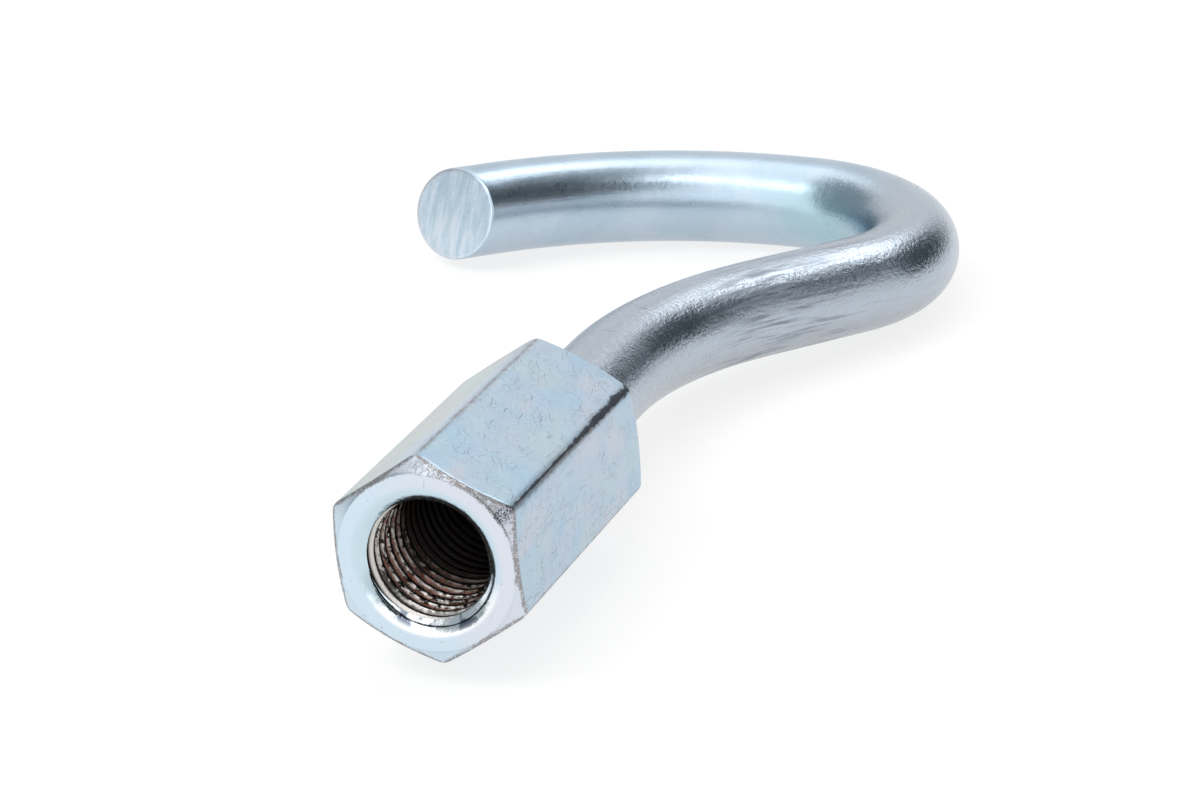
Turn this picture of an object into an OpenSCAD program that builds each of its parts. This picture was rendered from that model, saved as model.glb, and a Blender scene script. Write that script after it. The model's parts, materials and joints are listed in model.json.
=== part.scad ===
// Screw hook lying at rest: a round rod bent into a hook, its root seated in a
// hexagonal sleeve with a threaded mouth. Millimetres, +Z up.
// The origin is on the sleeve's axis, where the thread meets the countersink.

/* [Sleeve] */
// Width across the flats of the hexagonal sleeve
hex_af = 14; // [13:0.5:17]
// Length of the sleeve from end face to end face
sleeve_len = 26; // [25:1:36]
// How much the bar's sharp corners are taken down, on the radius
corner_break = 0.18; // [0.05:0.01:0.4]
// How far the end chamfers cut into the flats, on the radius
chamfer_bite = 0.4; // [0:0.05:0.8]
// Slope of the end chamfers, measured from the end face
chamfer_slope = 30; // [15:1:40]
// Turn of the sleeve's corners about its axis, against the plane of the hook
sleeve_turn = 6.5; // [-30:0.5:30]

/* [Thread] */
// Nominal diameter of the fine thread in the mouth
thread_d = 10; // [9.5:0.5:11]
// Pitch of the thread
thread_pitch = 1; // [0.75:0.25:1.5]
// Length of the threaded wall, behind the countersink
thread_len = 16; // [8:0.5:16.5]
// How far the countersink reaches past the nominal thread, on the radius
countersink_margin = 0.3; // [0.1:0.1:0.8]
// Slope of the countersink, measured from the sleeve's axis
countersink_slope = 45; // [30:1:60]

/* [Rod] */
// Diameter of the hook's round rod
rod_d = 8; // [6:0.1:8.4]
// Depth that the rod is seated in the back of the sleeve
seat_len = 8; // [4:0.5:8.5]
// Gap between the rod and its seat, on the radius
seat_clearance = 0.02; // [0.01:0.01:0.1]
// Break of the edge at the seated end of the rod
lead_chamfer = 0.6; // [0.2:0.1:1]

/* [Hook] */
// Straight rod between the sleeve and the neck bend
shank_len = 12; // [2:0.5:30]
// Centreline radius of the neck bend
neck_r = 32; // [14:1:60]
// Angle of the neck bend, away from the sleeve's axis
neck_angle = 37; // [20:1:55]
// Straight rod between the neck bend and the bow
throat_len = 10; // [2:0.5:30]
// Centreline radius of the bow
bow_r = 12; // [10:0.5:24]
// Centreline radius of the long curve between the bow and the free end
arm_r = 38; // [26:1:60]
// Angle of that long curve
arm_angle = 44; // [20:1:60]
// Straight rod at the free end, measured to the middle of its cropped face
end_len = 3; // [3:0.5:12]
// How far the cropped face leans from square, in the plane of the hook
crop_lean = 25; // [0:1:27]
// How far the cropped face leans back from square, out of that plane
crop_tilt = 11; // [0:1:15]

/* [Hidden] */
$fn = 96;
// How far a cut runs past the surface that it breaks through
past = 1;

// Sleeve: the bar's corners, its end faces and the run of its chamfers
corner_d = hex_af / cos(30) - 2 * corner_break;
end_face_d = hex_af - 2 * chamfer_bite;
chamfer_len = (corner_d - end_face_d) / 2 * tan(chamfer_slope);

// Thread: its wall is drawn at the diameter of the crests
crest_d = thread_d - 1.0825 * thread_pitch;
countersink_d = thread_d + 2 * countersink_margin;
mouth_y = -(countersink_d - crest_d) / 2 / tan(countersink_slope);
back_y = mouth_y + sleeve_len;

// Seat: bored for the rod, reached from the thread by the drill's own slope
seat_d = rod_d + 2 * seat_clearance;
seat_y = back_y - seat_len;
drill_slope = 59;
step_y = thread_len + (crest_d - seat_d) / 2 / tan(drill_slope);

// Joints of the rod: a bend is drawn a hair thinner than the straight rod and
// laps into it, so that their surfaces never touch along a line. Two bends meet
// in a link of straight rod.
draw_down = 0.005;
lap = 0.05;
link_len = 0.2;

// Hook: the bow turns the rod until it lies square across the sleeve's axis
bow_angle = 90 + neck_angle;
neck_end_y = back_y + shank_len + neck_r * sin(neck_angle);
bow_top_y = neck_end_y + throat_len * cos(neck_angle) + bow_r * (1 + sin(neck_angle));

// Free end: the longest side that the leaning crop leaves past its middle
crop_reach = rod_d / 2 * (tan(crop_lean) + tan(crop_tilt) / cos(crop_lean));

// Rest: a flat floor touches the sleeve's lowest back corner and the bow. The
// turned corner is round for half_land to each side, so it touches there first.
corner_y = back_y - chamfer_len;
half_land = 30 - acos(hex_af / corner_d);
corner_drop = corner_d / 2 * cos(max(0, abs(sleeve_turn) - half_land));
rest_run = bow_top_y - corner_y;
rest_pitch = atan(corner_drop / rest_run) - asin(rod_d / 2 / norm([rest_run, corner_drop]));

// Lays the hook down, so that the sleeve's axis dips towards the bow
module at_rest() {
    rotate([-rest_pitch, 0, 0]) children();
}

// Solid turned about the sleeve's axis, from a profile of [radius, y] points
module turned(profile) {
    rotate([-90, 0, 0]) rotate_extrude() polygon(profile);
}

// Hexagonal bar before it is bored: corners turned down, both ends chamfered
module sleeve_blank() {
    intersection() {
        translate([0, mouth_y, 0])
            rotate([-90, 0, 0])
                rotate([0, 0, 90 - sleeve_turn])
                    cylinder(d = hex_af / cos(30), h = sleeve_len, $fn = 6);
        turned([
            [0, mouth_y],
            [end_face_d / 2, mouth_y],
            [corner_d / 2, mouth_y + chamfer_len],
            [corner_d / 2, corner_y],
            [end_face_d / 2, back_y],
            [0, back_y],
        ]);
    }
}

// What is bored out of the sleeve: countersink, thread wall, drill slope and seat
module sleeve_bore() {
    turned([
        [0, mouth_y - past],
        [countersink_d / 2 + past * tan(countersink_slope), mouth_y - past],
        [crest_d / 2, 0],
        [crest_d / 2, thread_len],
        [seat_d / 2, step_y],
        [seat_d / 2, back_y + past],
        [0, back_y + past],
    ]);
}

// Hexagonal sleeve: a threaded mouth in front and the rod's seat behind
module hex_sleeve() {
    color("lightsteelblue") at_rest() difference() {
        sleeve_blank();
        sleeve_bore();
    }
}

// Straight rod along +Y, with what follows it placed at its far end
module straight(length) {
    rotate([-90, 0, 0]) cylinder(d = rod_d, h = length);
    translate([0, length, 0]) children();
}

// Bend of the rod in the plane of the hook, with what follows it placed at its
// far end. side = 1 bends towards +X and side = -1 bends towards -X.
module bend(radius, angle, side) {
    reach = lap / radius * 180 / PI;
    first = side > 0 ? 180 - angle : 0;
    translate([side * radius, 0, 0]) {
        rotate_extrude(start = first - reach, angle = angle + 2 * reach)
            translate([radius, 0]) circle(d = rod_d - 2 * draw_down);
        rotate([0, 0, -side * angle]) translate([-side * radius, 0, 0]) children();
    }
}

// Seated end of the rod, its edge broken so that it finds the bore
module lead_in() {
    rotate([-90, 0, 0])
        cylinder(d1 = rod_d - 2 * lead_chamfer, d2 = rod_d, h = lead_chamfer);
}

// Free end of the rod, cropped by a block that leans both ways
module cropped_end() {
    block = 3 * rod_d;
    difference() {
        straight(end_len + crop_reach + past);
        translate([0, end_len, 0])
            rotate([crop_tilt, 0, crop_lean])
                translate([-block / 2, 0, -block / 2]) cube(block);
    }
}

// Round rod from its seat to its free end, all bends in one plane
module hook_rod() {
    color("silver") at_rest() translate([0, seat_y, 0]) {
        lead_in();
        translate([0, lead_chamfer, 0])
            straight(seat_len - lead_chamfer + shank_len)
                bend(neck_r, neck_angle, 1)
                    straight(throat_len)
                        bend(bow_r, bow_angle, -1)
                            straight(link_len)
                                bend(arm_r, arm_angle, -1)
                                    cropped_end();
    }
}

hex_sleeve();
hook_rod();
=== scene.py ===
"""Zinc plated screw hook, lying at rest on a pale floor under soft studio light.

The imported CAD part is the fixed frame. Both of its nodes are replaced by finer meshes in the same
place: the hexagonal sleeve gets its helical thread, rounded edges and wear, and the rod is bent from
a straight bar, so that its drawing marks follow the bends. Sizes are in millimetres until a mesh is
laid into the frame, which is in metres.
"""

from __future__ import annotations

import json
import logging
import math
from dataclasses import dataclass, field
from enum import Enum

import bpy
import numpy as np
from mathutils import Matrix, Vector

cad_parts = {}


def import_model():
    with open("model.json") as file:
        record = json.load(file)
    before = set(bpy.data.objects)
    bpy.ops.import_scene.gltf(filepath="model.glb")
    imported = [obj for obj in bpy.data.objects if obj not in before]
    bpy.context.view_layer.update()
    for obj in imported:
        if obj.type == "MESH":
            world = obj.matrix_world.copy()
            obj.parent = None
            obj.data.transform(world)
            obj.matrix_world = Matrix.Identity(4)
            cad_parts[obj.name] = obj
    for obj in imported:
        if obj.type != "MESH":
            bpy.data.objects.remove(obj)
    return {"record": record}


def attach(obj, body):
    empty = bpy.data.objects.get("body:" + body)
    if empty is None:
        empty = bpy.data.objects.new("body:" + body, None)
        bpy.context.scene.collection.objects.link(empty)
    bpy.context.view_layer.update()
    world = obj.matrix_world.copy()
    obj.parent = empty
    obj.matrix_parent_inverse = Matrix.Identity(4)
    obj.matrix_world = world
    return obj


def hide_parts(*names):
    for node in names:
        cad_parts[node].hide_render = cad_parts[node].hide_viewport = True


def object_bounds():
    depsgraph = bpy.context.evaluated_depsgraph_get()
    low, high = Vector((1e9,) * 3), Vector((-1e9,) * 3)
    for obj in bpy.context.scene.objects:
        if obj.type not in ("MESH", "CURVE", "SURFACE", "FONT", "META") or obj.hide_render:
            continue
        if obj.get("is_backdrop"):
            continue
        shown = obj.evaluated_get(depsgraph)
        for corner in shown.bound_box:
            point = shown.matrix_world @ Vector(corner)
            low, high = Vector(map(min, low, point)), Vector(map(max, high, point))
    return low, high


LOG = logging.getLogger("screw_hook")
MM = 0.001
BODY = "root"

Colour = tuple[float, float, float]
# Where a soft step starts and ends, or the middle of a soft hill and its reach to each side
Span = tuple[float, float]


class Zone(Enum):
    """Surface zones of the sleeve, stored on its vertices as a number."""

    OUTSIDE = 0.0
    FACE = 1.0
    CONE = 2.0
    THREAD = 3.0
    SEAT = 4.0


class Sock:
    """A node output that takes part in Python expressions."""

    def __init__(self, graph: Graph, socket: bpy.types.NodeSocket) -> None:
        """Keeps the graph that new nodes go into and the output that this value comes from."""
        self.graph = graph
        self.socket = socket

    def __add__(self, other: Value) -> Sock:
        """Sum."""
        return self.graph.math("ADD", self, other)

    def __radd__(self, other: Value) -> Sock:
        """Sum, with the number on the left."""
        return self.graph.math("ADD", other, self)

    def __sub__(self, other: Value) -> Sock:
        """Difference."""
        return self.graph.math("SUBTRACT", self, other)

    def __rsub__(self, other: Value) -> Sock:
        """Difference, with the number on the left."""
        return self.graph.math("SUBTRACT", other, self)

    def __mul__(self, other: Value) -> Sock:
        """Product."""
        return self.graph.math("MULTIPLY", self, other)

    def __rmul__(self, other: Value) -> Sock:
        """Product, with the number on the left."""
        return self.graph.math("MULTIPLY", other, self)

    def __truediv__(self, other: Value) -> Sock:
        """Quotient."""
        return self.graph.math("DIVIDE", self, other)

    def __rtruediv__(self, other: Value) -> Sock:
        """Quotient, with the number on the left."""
        return self.graph.math("DIVIDE", other, self)

    def __abs__(self) -> Sock:
        """Size without sign."""
        return self.graph.math("ABSOLUTE", self)


Value = Sock | float | int | tuple


class Graph:
    """Builds a node tree, for a shader or for geometry, from expressions."""

    def __init__(self, tree: bpy.types.NodeTree) -> None:
        """Keeps the node tree to build in."""
        self.tree = tree

    def node(self, kind: str, settings: dict | None = None, inputs: dict | None = None) -> bpy.types.Node:
        """Adds any node.

        Args:
            kind: The node's bl_idname.
            settings: Properties to set on the node.
            inputs: Values or outputs for its inputs, by name or by index.

        Returns:
            The new node.
        """
        made = self.tree.nodes.new(kind)
        for name, value in (settings or {}).items():
            setattr(made, name, value)
        for name, value in (inputs or {}).items():
            self.feed(made.inputs[name], value)
        return made

    def feed(self, socket: bpy.types.NodeSocket, value: Value) -> None:
        """Links or sets one input.

        Args:
            socket: The input.
            value: An output to link, or a constant.
        """
        if isinstance(value, Sock):
            self.tree.links.new(value.socket, socket)
        elif isinstance(value, bpy.types.NodeSocket):
            self.tree.links.new(value, socket)
        elif socket.type == "RGBA" and isinstance(value, tuple) and len(value) == 3:
            socket.default_value = (*value, 1.0)
        else:
            socket.default_value = value

    def out(self, made: bpy.types.Node, name: str | int = 0) -> Sock:
        """Wraps one output of a node, by name or by index."""
        return Sock(self, made.outputs[name])

    def add(self, kind: str, settings: dict | None = None, inputs: dict | None = None) -> Sock:
        """Adds any node and wraps its first output."""
        return self.out(self.node(kind, settings, inputs))

    def math(self, operation: str, *values: Value, clamp: bool = False) -> Sock:
        """Adds a Math node with its inputs in order. Clamp holds the result between 0 and 1."""
        settings = {"operation": operation, "use_clamp": clamp}
        return self.add("ShaderNodeMath", settings, dict(enumerate(values)))
    def high(self, a: Value, b: Value) -> Sock:
        """The larger of two values."""
        return self.math("MAXIMUM", a, b)

    def step(self, value: Value, start: Value, end: Value) -> Sock:
        """Smooth rise from 0 at start to 1 at end.

        Args:
            value: What is measured.
            start: Where the rise begins.
            end: Where it is complete. Below start, the step falls with the value.

        Returns:
            A factor from 0 to 1.
        """
        inputs = {"Value": value, "From Min": start, "From Max": end}
        return self.add("ShaderNodeMapRange", {"interpolation_type": "SMOOTHSTEP"}, inputs)

    def bump_at(self, value: Value, centre: float, half_width: float) -> Sock:
        """A soft hill over a value, 1 at the centre and 0 beyond the half width."""
        return self.step(abs(self.math("SUBTRACT", value, centre)), half_width, 0.0)

    def vector(self, operation: str, *values: Value) -> Sock:
        """Adds a Vector Math node that gives a vector, with its inputs in order."""
        return self.add("ShaderNodeVectorMath", {"operation": operation}, dict(enumerate(values)))

    def scaled(self, vector: Value, factor: Value) -> Sock:
        """A vector times a number."""
        return self.add("ShaderNodeVectorMath", {"operation": "SCALE"}, {0: vector, "Scale": factor})

    def join(self, x: Value, y: Value, z: Value) -> Sock:
        """Makes a vector from three numbers."""
        return self.add("ShaderNodeCombineXYZ", None, {"X": x, "Y": y, "Z": z})

    def split(self, vector: Sock) -> tuple[Sock, Sock, Sock]:
        """Takes a vector apart into its three numbers."""
        made = self.node("ShaderNodeSeparateXYZ", None, {"Vector": vector})
        return self.out(made, "X"), self.out(made, "Y"), self.out(made, "Z")

    def noise(self, vector: Sock, scale: float, detail: float = 3.0, rough: float = 0.5) -> Sock:
        """Noise from 0 to 1, with its scale in cycles for each unit of the vector."""
        inputs = {"Vector": vector, "Scale": scale, "Detail": detail, "Roughness": rough}
        return self.add("ShaderNodeTexNoise", None, inputs)

    def scratches(self, place: Sock, scale: float, turn_deg: float, spread_deg: float, width: float) -> Sock:
        """Short fine arcs, one in some of the cells of a scattered pattern.

        Args:
            place: Where it is read, on the unrolled surface.
            scale: Cells for each unit of length.
            turn_deg: Mean direction of the arcs.
            spread_deg: How far the directions vary around it.
            width: Half width of an arc.

        Returns:
            1 in a scratch and 0 beside it.
        """
        settings = {"voronoi_dimensions": "2D"}
        cell = self.node("ShaderNodeTexVoronoi", settings, {"Vector": place, "Scale": scale})
        chance, bend, share = self.split(self.out(cell, "Color"))
        x, y, _ = self.split(self.vector("SUBTRACT", place, self.out(cell, "Position")))
        turn = (chance - 0.5) * math.radians(2 * spread_deg) + math.radians(turn_deg)
        sine, cosine = self.math("SINE", turn), self.math("COSINE", turn)
        along = x * cosine + y * sine
        aside = y * cosine - x * sine + (bend - 0.5) * along * along * (1.6 * scale)
        reach = 0.75 / scale
        line = self.step(abs(aside), width, width * 0.2) * self.step(abs(along), reach, reach * 0.45)
        return line * self.step(share, 0.35, 0.45)

    def attribute(self, name: str, part: str = "Fac") -> Sock:
        """Reads an attribute of the mesh in a shader, as a number (Fac) or as a vector (Vector)."""
        return self.out(self.node("ShaderNodeAttribute", {"attribute_name": name}), part)

    def blend(self, factor: Value, a: Value, b: Value) -> Sock:
        """Mixes two colours: a factor of 0 gives a and 1 gives b."""
        settings = {"data_type": "RGBA", "clamp_factor": True}
        return self.out(self.node("ShaderNodeMix", settings, {0: factor, 6: a, 7: b}), 2)

    def mix(self, factor: Value, a: Value, b: Value) -> Sock:
        """Mixes two numbers: a factor of 0 gives a and 1 gives b."""
        settings = {"data_type": "FLOAT", "clamp_factor": True}
        return self.add("ShaderNodeMix", settings, {0: factor, 2: a, 3: b})

    def coats(self, base: Value, *coats: tuple[Value, Value]) -> Value:
        """Lays colours over a base, one after the other.

        Args:
            base: The colour below them all.
            coats: For each coat, how much of it shows and its colour.

        Returns:
            The colour on top.
        """
        for share, colour in coats:
            base = self.blend(share, base, colour)
        return base


@dataclass(frozen=True)
class ThreadSize:
    """Sizes of the fine internal thread and its countersink, in millimetres."""

    nominal_d: float = 10.0
    pitch: float = 1.0
    length: float = 16.0
    # What the crests of a metric thread leave out of the nominal diameter, in pitches
    crest_cut: float = 1.0825
    crest_share: float = 0.26
    root_share: float = 0.1
    countersink_margin: float = 0.3
    countersink_slope: float = 45.0
    run_out: float = 0.9
    roughness: float = 0.03

    @property
    def crest_r(self) -> float:
        """Radius of the wall at the crests."""
        return self.nominal_d / 2 - self.crest_cut * self.pitch / 2

    @property
    def depth(self) -> float:
        """How deep the grooves go behind the crests."""
        return self.nominal_d / 2 - self.crest_r

    @property
    def mouth_r(self) -> float:
        """Radius of the countersink in the mouth's face."""
        return self.nominal_d / 2 + self.countersink_margin


@dataclass(frozen=True)
class SleeveSize:
    """Sizes of the hexagonal sleeve, in millimetres and degrees."""

    across_flats: float = 14.0
    length: float = 26.0
    corner_break: float = 0.18
    chamfer_bite: float = 0.4
    chamfer_slope: float = 30.0
    turn: float = 6.5
    edge_round: float = 0.13
    blend: float = 0.22
    mouth_round: float = 0.55
    seat_clearance: float = 0.02
    seat_break: float = 0.12
    drill_slope: float = 59.0


@dataclass(frozen=True)
class EdgeWear:
    """How far the sleeve's rubbed edges reach, in millimetres, and how strongly they are rubbed."""

    corner: float = 0.42
    corner_share: float = 0.72
    # The corner's wear stops on the chamfer within this length
    corner_stop: float = 0.2
    # The chamfer's rim, to either side of the edge
    rim_on_chamfer: float = 0.46
    rim_on_flat: float = 0.08
    rim_share: float = 0.95
    # The chamfer itself, most of all towards the upper right
    cone_edge: float = 0.12
    cone_share: float = 0.22
    cone_more: float = 0.50
    cone_more_at: float = 62.0
    face_edge: float = 0.3
    face_share: float = 0.6
    lip_share: float = 0.25


@dataclass(frozen=True)
class RodSize:
    """Sizes of the bent rod, in millimetres and degrees."""

    diameter: float = 8.0
    seat_len: float = 8.0
    lead_chamfer: float = 0.6
    shank_len: float = 12.0
    neck_r: float = 32.0
    neck_angle: float = 37.0
    throat_len: float = 10.0
    bow_r: float = 12.0
    link_len: float = 0.2
    arm_r: float = 38.0
    arm_angle: float = 44.0
    end_len: float = 3.0
    crop_lean: float = 25.0
    crop_tilt: float = 11.0
    crop_edge: float = 0.22
    crop_dome: float = 0.18
    # How far the wear of the cropped edge reaches along the rod and into the face
    crop_worn: float = 0.35
    crop_rim: float = 0.3


@dataclass(frozen=True)
class Spacing:
    """How far apart the rings of points lie, and where they lie closer, in millimetres."""

    chamfer: float = 0.045
    chamfer_run: float = 1.1
    flats: float = 1.1
    seat: float = 1.4
    front_run: float = 9.0
    front_parts: int = 25
    deep_parts: int = 12
    bar: float = 0.45
    crop: float = 0.2
    crop_run: float = 9.0
    centreline: float = 0.1


class Rest:
    """How the part lies in the frame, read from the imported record."""

    def __init__(self, record: dict) -> None:
        """Finds the thread's mount.

        Args:
            record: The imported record.
        """
        mount = next(m for m in record["mounts"] if m["name"] == "mouth_thread")
        self.axis = Vector(mount["axis"])
        self.origin = Vector(mount["pos_m"])
        self.pitch = math.atan2(self.axis.z, -self.axis.y)

    def lay(self, mesh: bpy.types.Mesh) -> None:
        """Turns a mesh from millimetres on the sleeve's axis into the frame.

        Args:
            mesh: The mesh to change.
        """
        placed = Matrix.Translation(self.origin) @ Matrix.Rotation(-self.pitch, 4, "X")
        mesh.transform(placed @ Matrix.Scale(MM, 4))
        mesh.update()


@dataclass
class Rings:
    """Rows of points round an axis, which become one closed mesh."""

    points: list[np.ndarray] = field(default_factory=list)
    tags: list[dict[str, np.ndarray]] = field(default_factory=list)

    def add(self, points: np.ndarray, **tags: np.ndarray | float) -> None:
        """Adds one ring of points, as rows of x, y, z, and the values to store on them."""
        self.points.append(points)
        self.tags.append({k: np.broadcast_to(v, len(points)).astype(np.float32) for k, v in tags.items()})

    def mesh(self, name: str, looped: bool) -> bpy.types.Mesh:
        """Joins the rings with quads.

        Args:
            name: Name of the mesh.
            looped: Whether the last ring meets the first. If not, both ends are closed by a fan.

        Returns:
            A closed mesh with outward normals and the tags as attributes.
        """
        rows, count = len(self.points), len(self.points[0])
        vertices = np.concatenate(self.points)
        tags = {k: np.concatenate([t[k] for t in self.tags]) for k in self.tags[0]}
        index = np.arange(rows * count).reshape(rows, count)
        lower = index if looped else index[:-1]
        upper = np.roll(index, -1, axis=0) if looped else index[1:]
        quads = np.stack([lower, np.roll(lower, -1, 1), np.roll(upper, -1, 1), upper], -1).reshape(-1, 4)
        faces = quads.tolist()
        if not looped:
            ends = [self.points[0].mean(0), self.points[-1].mean(0)]
            for centre, ring, turn in ((ends[0], index[0], -1), (ends[1], index[-1], 1)):
                hub = len(vertices)
                vertices = np.concatenate([vertices, centre[None]])
                tags = {k: np.append(v, v[ring[0]]) for k, v in tags.items()}
                around = ring[::turn]
                faces += [[int(a), int(b), hub] for a, b in zip(around, np.roll(around, -1))]
        mesh = bpy.data.meshes.new(name)
        mesh.from_pydata(vertices.tolist(), [], faces)
        if signed_volume(mesh) < 0:
            mesh.flip_normals()
        mesh.shade_smooth()
        for key, values in tags.items():
            mesh.attributes.new(key, "FLOAT", "POINT").data.foreach_set("value", values)
        store_places(mesh)
        return mesh


def vertex_places(mesh: bpy.types.Mesh) -> np.ndarray:
    """Reads where a mesh's vertices are.

    Args:
        mesh: The mesh.

    Returns:
        All coordinates in one row.
    """
    co = np.zeros(len(mesh.vertices) * 3, np.float32)
    mesh.vertices.foreach_get("co", co)
    return co


def signed_volume(mesh: bpy.types.Mesh) -> float:
    """Volume inside a closed mesh, negative where its normals point inwards.

    Args:
        mesh: The mesh.

    Returns:
        The volume in the mesh's own units, cubed.
    """
    mesh.calc_loop_triangles()
    corners = np.zeros(len(mesh.loop_triangles) * 3, np.int32)
    mesh.loop_triangles.foreach_get("vertices", corners)
    places = vertex_places(mesh).reshape(-1, 3)
    a, b, c = places[corners.reshape(-1, 3)].astype(float).transpose(1, 0, 2)
    return float(np.einsum("ij,ij->i", a, np.cross(b, c)).sum() / 6)


def store_places(mesh: bpy.types.Mesh) -> None:
    """Keeps each vertex's place in millimetres, before it is bent or laid down, for the shaders."""
    stored = mesh.attributes.new("made_at", "FLOAT_VECTOR", "POINT")
    stored.data.foreach_set("vector", vertex_places(mesh))


def spaced(start: float, end: float, step: float) -> np.ndarray:
    """Evenly spaced values, about a step apart, from start up to but not including end."""
    count = max(1, round(abs(end - start) / step))
    return np.linspace(start, end, count, endpoint=False)


def soft_low(a: np.ndarray, b: np.ndarray, width: float) -> np.ndarray:
    """The smaller of two values, rounded where they are less than a width apart."""
    near = np.maximum(width - np.abs(a - b), 0) / width
    return np.minimum(a, b) - near * near * width / 4


def linked(name: str, data: bpy.types.ID) -> bpy.types.Object:
    """Makes an object and links it into the scene.

    Args:
        name: Its name.
        data: Its mesh, curve, lamp or camera.

    Returns:
        The object.
    """
    made = bpy.data.objects.new(name, data)
    bpy.context.scene.collection.objects.link(made)
    return made


class GeometryTool(Graph):
    """A geometry node group that is run once on an object and then baked into its mesh."""

    def __init__(self, name: str) -> None:
        """Makes an empty group with one geometry input and output.

        Args:
            name: Name of the group.
        """
        super().__init__(bpy.data.node_groups.new(name, "GeometryNodeTree"))
        for side in ("INPUT", "OUTPUT"):
            self.tree.interface.new_socket("Geometry", in_out=side, socket_type="NodeSocketGeometry")
        self.values: dict[str, object] = {}
        self.start = self.node("NodeGroupInput")

    def size(self, name: str, value: object, kind: str = "NodeSocketFloat") -> Sock:
        """Adds a named input.

        Args:
            name: Its name.
            value: Its value for this run.
            kind: Its socket type.

        Returns:
            The input, for expressions.
        """
        made = self.tree.interface.new_socket(name, in_out="INPUT", socket_type=kind)
        self.values[made.identifier] = value
        return self.out(self.start, name)

    def bake(self, geometry: Sock, mesh: bpy.types.Mesh, material: bpy.types.Material) -> bpy.types.Mesh:
        """Ends the group, runs it on a mesh and returns the result as a plain mesh.

        Args:
            geometry: The group's last geometry.
            mesh: The mesh to work on.
            material: The material to set.

        Returns:
            A new mesh with no modifier left.
        """
        real = self.add("GeometryNodeRealizeInstances", None, {0: geometry})
        dressed = self.add("GeometryNodeSetMaterial", None, {0: real, "Material": material})
        self.node("NodeGroupOutput", None, {0: dressed})
        holder = linked(mesh.name + "_work", mesh)
        modifier = holder.modifiers.new(self.tree.name, "NODES")
        modifier.node_group = self.tree
        for identifier, value in self.values.items():
            modifier[identifier] = value
        view = bpy.context.evaluated_depsgraph_get()
        made = bpy.data.meshes.new_from_object(holder.evaluated_get(view), depsgraph=view)
        bpy.data.objects.remove(holder)
        return made


class Piece:
    """A piece of the hook, made in millimetres on the sleeve's axis and then laid into the frame."""

    name = "piece"

    def plain(self) -> bpy.types.Mesh:
        """The mesh that the piece's Geometry Nodes group works on."""
        raise NotImplementedError

    def worked(self, plain: bpy.types.Mesh, material: bpy.types.Material) -> bpy.types.Mesh:
        """The mesh that the group makes of it, in its finish."""
        raise NotImplementedError

    def build(self, rest: Rest, material: bpy.types.Material) -> bpy.types.Object:
        """Makes the piece in its place.

        Args:
            rest: How the part lies.
            material: The piece's finish.

        Returns:
            The object, at the frame's origin.
        """
        plain = self.plain()
        mesh = self.worked(plain, material)
        bpy.data.meshes.remove(plain)
        mesh.name = self.name
        rest.lay(mesh)
        mesh.shade_smooth()
        return linked(self.name, mesh)


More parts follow.
